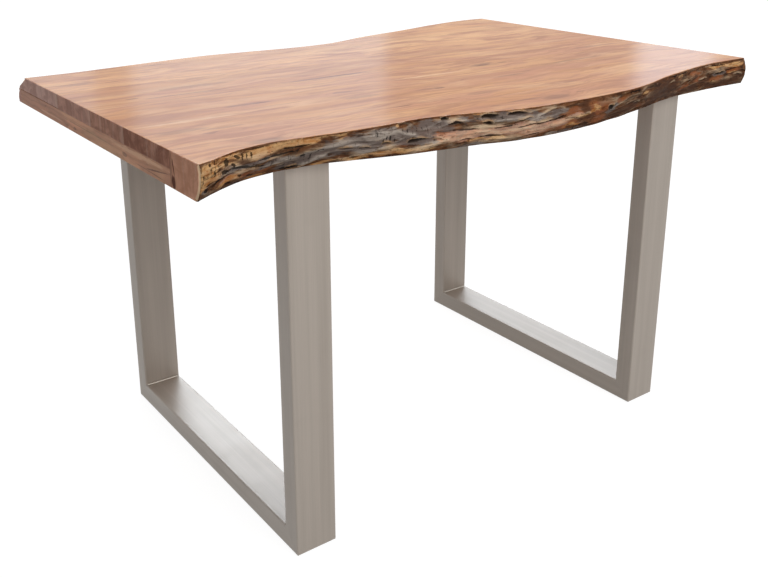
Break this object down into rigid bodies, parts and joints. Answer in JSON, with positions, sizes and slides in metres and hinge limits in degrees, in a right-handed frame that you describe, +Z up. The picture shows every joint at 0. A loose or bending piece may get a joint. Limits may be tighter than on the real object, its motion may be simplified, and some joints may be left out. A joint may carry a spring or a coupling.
{
  "type": "live edge dining table",
  "caption": "Rectangular dining table with a waney-edged glued board top, doubled at its rim, on two closed frames of rectangular steel tube.",
  "frame": {"origin": "middle of the table's bounding box, on the floor", "axes": "+Z up, +X along the table, -Y the long side that carries the full-thickness live edge board"},
  "size_m": [1.32, 0.9533, 0.76],
  "materials": {
    "live_edge_wood": "satin",
    "board_wood": "satin",
    "frame_steel": "satin",
    "zinc_fixings": "satin",
    "glide_plastic": "matte"
  },
  "bodies": {
    "root": {"back_deck_stave": "board_wood", "back_edge_lipping": "live_edge_wood", "back_live_edge_board": "live_edge_wood", "front_deck_stave": "board_wood", "front_live_edge_board": "live_edge_wood", "left_back_upright": "frame_steel", "left_corner_welds": "frame_steel", "left_end_batten": "board_wood", "left_fixing_screws": "zinc_fixings", "left_floor_bar": "frame_steel", "left_floor_glides": "glide_plastic", "left_front_upright": "frame_steel", "left_screw_washers": "zinc_fixings", "left_threaded_inserts": "zinc_fixings", "left_top_bar": "frame_steel", "middle_deck_stave": "board_wood", "right_back_upright": "frame_steel", "right_corner_welds": "frame_steel", "right_end_batten": "board_wood", "right_fixing_screws": "zinc_fixings", "right_floor_bar": "frame_steel", "right_floor_glides": "glide_plastic", "right_front_upright": "frame_steel", "right_screw_washers": "zinc_fixings", "right_threaded_inserts": "zinc_fixings", "right_top_bar": "frame_steel"}
  },
  "joints": []
}
